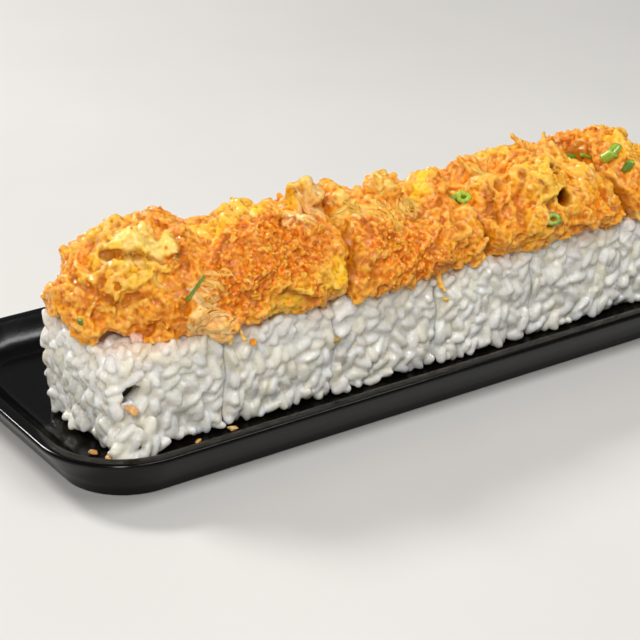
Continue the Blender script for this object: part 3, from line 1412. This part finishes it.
def topping_shreds(skin, look):
    """Thin torn shreds that lie on the heap with their ends free, most on its fibrous parts."""
    draw = random.Random(23)
    tries = 3400
    xs, turns = scatter(draw, tries, (-2, 211), (-20, 200))
    roots = on_heap(xs, turns)
    weights = patch_weights(roots)
    fibrous = weights["flake"] + weights["band"]
    chance = 0.95 * fibrous + 0.1 * weights["light"]
    flow = waves(roots, 15, 5)
    shares = np.linspace(-0.5, 0.5, 7)
    forms, tints = [], []
    for number in range(tries):
        if draw.random() > chance[number] * (1 - weights["cream"][number]):
            continue
        heading = math.radians(62) + flow[number] * 2 + draw.gauss(0, 0.2)
        length, width = draw.uniform(3, 7.5), draw.uniform(0.8, 2)
        curve = heading + draw.gauss(0, 0.35) * shares
        path_x, path_turn = laid(xs[number], turns[number], curve, length, shares)
        settled = [skin.settle(x, degrees) for x, degrees in zip(path_x, path_turn)]
        if any(place is None for place, _ in settled):
            continue
        path = np.array([place for place, _ in settled])
        if np.linalg.norm(np.diff(path, axis=0), axis=1).max() > 2.2 or path[:, 2].min() < 28:
            continue
        outward = np.array([way for _, way in settled])
        path[1:-1] = path[1:-1] * 0.5 + (path[:-2] + path[2:]) * 0.25
        free = np.array([draw.uniform(-0.2, 1.1), 0.15, 0.05, 0, 0.05, 0.15,
                         draw.uniform(-0.2, 1.1)])
        path = path + outward * (draw.uniform(-0.12, 0.06) + free * 0.5)[:, None]
        taper = np.array([0.35, 0.8, 1, 1, 0.95, 0.75, 0.3])
        forms.append(sweep(path, outward, width * taper, (0.35 + 0.15 * width) * taper, 6))
        pale = draw.uniform(0.25, 1) if fibrous[number] > 0.4 else draw.uniform(0, 0.5)
        paler = PALE if weights["flake"][number] > 0.5 else np.array([0.98, 0.62, 0.13])
        tint = np.array([0.95, 0.4, 0.02]) * (1 - pale) + paler * pale
        tints.append(np.tile(tint * draw.uniform(0.85, 1.03), (len(forms[-1][0]), 1)))
    made = forms_object("topping_shreds", forms)
    paint(made, "tint", np.clip(np.vstack(tints), 0, 1))
    finish_piece(made, look, "topping", "topping")


def green_onion(skin, look):
    """Green onion: short rings of hollow stalk, and split strips."""
    draw = random.Random(31)
    points, faces, tints, base = [], [], [], 0
    for x, degrees, lift, length, width, way, lime in ONIONS:
        middle, outward = skin.settle(x, degrees)
        middle = middle + outward * lift
        axis = unit(np.array(way, float))
        side = unit(np.cross(axis, (0.3, 0.2, 1.0)))
        up = np.cross(axis, side)
        around, outer, inner = 24, width / 2, 0.42 * width / 2
        rows = [(-0.5, outer * 0.97), (-0.35, outer), (0.35, outer), (0.5, outer * 0.97),
                (0.5, inner), (0.2, inner * 0.9), (-0.2, inner * 0.9), (-0.5, inner)]
        squash = draw.uniform(0.6, 0.85)
        shape = []
        for row, (place, radius) in enumerate(rows):
            for step in range(around):
                turn = math.tau * step / around
                wave = 1 + 0.08 * math.sin(3 * turn + x) + 0.06 * math.sin(2 * turn + degrees)
                shape.append(middle + axis * length * place * (1 + 0.05 * math.sin(2 * turn))
                             + side * radius * wave * math.cos(turn)
                             + up * radius * squash * wave * math.sin(turn))
                streak = 0.8 + 0.35 * abs(math.sin(4 * turn + x))
                tone = np.array([0.4, 0.56, 0.08] if row >= 4 else [0.07, 0.2, 0.012])
                tone = tone + (np.array([0.42, 0.6, 0.05]) - tone) * lime
                tints.append(tone * streak)
        points.append(np.array(shape))
        faces += [tuple(base + corner for corner in face)
                  for face in quads(range(len(rows) + 1), len(rows), around)]
        base += len(shape)
    made = build("green_onion", np.vstack(points), np.array(faces), np.array(tints))
    fix_normals(made)
    finish_piece(made, look, "topping", "topping")


# Crumbs of topping on the rice and the plate: centre, size, and colour.
CRUMBS = [((-2.1, 7.6, 0.7), 1.0, (0.75, 0.4, 0.12)), ((5.4, -1.4, 14.8), 1.9, (0.9, 0.5, 0.2)),
          ((-0.7, 1.6, 1.2), 1.1, (0.8, 0.45, 0.14)), ((35.6, -1.2, 0.7), 1.1, (0.75, 0.5, 0.2)),
          ((24, -2.7, 0.9), 0.9, (0.8, 0.38, 0.08)), ((42.9, -0.6, 24.2), 1.3, (0.9, 0.35, 0.02)),
          ((70.1, -0.2, 17.4), 1.1, (0.5, 0.32, 0.06)),
          ((107.2, -1.0, 20.9), 0.8, (0.9, 0.55, 0.06)),
          ((12.5, 8.6, 29.9), 2.1, (0.93, 0.6, 0.5)), ((19, 30, 29.6), 1.0, (0.85, 0.35, 0.04)),
          ((62, 43, 0.7), 0.9, (0.8, 0.42, 0.1)), ((138, 42.5, 0.7), 1.0, (0.75, 0.4, 0.1))]


def loose_crumbs(look):
    draw = random.Random(41)
    shape, corners = ball_shape(3)
    points, faces, tints = [], [], []
    for number, (centre, size, tint) in enumerate(CRUMBS):
        rough = 1 + 0.75 * waves(shape + number * 5, 1.0, 3)
        radii = np.array([size * 1.2, size * 0.75, size * 0.6])
        turn = np.array(Matrix.Rotation(draw.uniform(0, math.tau), 3, "Z"))
        points.append((shape * rough[:, None] * radii) @ turn.T + np.array(centre))
        faces.append(corners + number * len(shape))
        tints.append(np.tile(tint, (len(shape), 1)))
    made = build("crumbs", np.vstack(points), np.vstack(faces), np.vstack(tints))
    finish_piece(made, look, "topping")


# Stage


# Area lights in metres and watts: name, location, size, power and colour.
LIGHTS = [("back_window", (-0.3, 0.75, 0.65), (0.24, 0.18), 8, (1, 0.98, 0.95)),
          ("front_fill", (-0.64, -0.74, 0.7), (0.24, 0.18), 7, (1, 0.985, 0.96)),
          ("top", (0.14, -0.28, 0.7), (0.7, 0.06), 2.9, (1, 1, 1))]
WORLD_COLOUR, WORLD_STRENGTH = (0.97, 0.98, 1, 1), 0.135
LIT_POINT = Vector((0, 0, 0.03))


def area_light(name, location, size, power, colour):
    """A soft rectangle of light that faces the food."""
    data = bpy.data.lights.new(name, "AREA")
    data.shape = "RECTANGLE"
    data.size, data.size_y = size
    data.energy = power
    data.color = colour
    made = show(name, data)
    made.location = location
    way = LIT_POINT - Vector(location)
    made.rotation_euler = way.to_track_quat("-Z", "Y").to_euler()


def stage():
    bpy.ops.mesh.primitive_plane_add(size=6, location=(0, 0, 0))
    floor = bpy.context.object
    floor.name = "floor"
    look = Look("pale_floor", Roughness=0.8)
    look.base(look.ramp(look.noise(6, 3), [(0.3, (0.62, 0.61, 0.59)), (0.7, (0.66, 0.65, 0.63))]))
    floor.data.materials.append(look.material)

    world = bpy.data.worlds.new("studio")
    bpy.context.scene.world = world
    world.use_nodes = True
    sky = world.node_tree.nodes["Background"].inputs
    sky["Color"].default_value, sky["Strength"].default_value = WORLD_COLOUR, WORLD_STRENGTH
    for light in LIGHTS:
        area_light(*light)
    bpy.context.scene.view_settings.view_transform = "Standard"


def camera():
    data = bpy.data.cameras.new("camera")
    data.lens = LENS
    data.sensor_width = SENSOR
    made = show("camera", data)
    made.location = placed(CAMERA_AT)
    way = Vector(placed(CAMERA_TO)) - Vector(placed(CAMERA_AT))
    made.rotation_euler = way.to_track_quat("-Z", "Y").to_euler()
    bpy.context.scene.camera = made


def dress_node(name, look):
    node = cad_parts[name]
    node.data.materials.clear()
    node.data.materials.append(look)


camera()
stage()
fine_plate(plate_look())
nori = nori_look()
for slice_number in range(1, SLICES + 1):
    dress_node("nori_core_%d" % slice_number, nori)
rice = rice_look()
for slice_index in range(SLICES):
    rice_slice(slice_index, rice)
heap_look = topping_look()
heap = [topping_mass(mass_index, heap_look) for mass_index in range(len(MASS_NAMES))]
topping_roe(heap, small_look("roe", 0.12, 0.6, 2000, 0.00002))
heap_skin = Skin(heap)
topping_shreds(heap_skin, small_look("shred", 0.25, 0.6, 1100, 0.00015))
green_onion(heap_skin, small_look("green_onion", 0.2, 0.6, 900, 0.00006, 0.15))
loose_crumbs(small_look("crumb", 0.3, 0.3, 900, 0.0002))
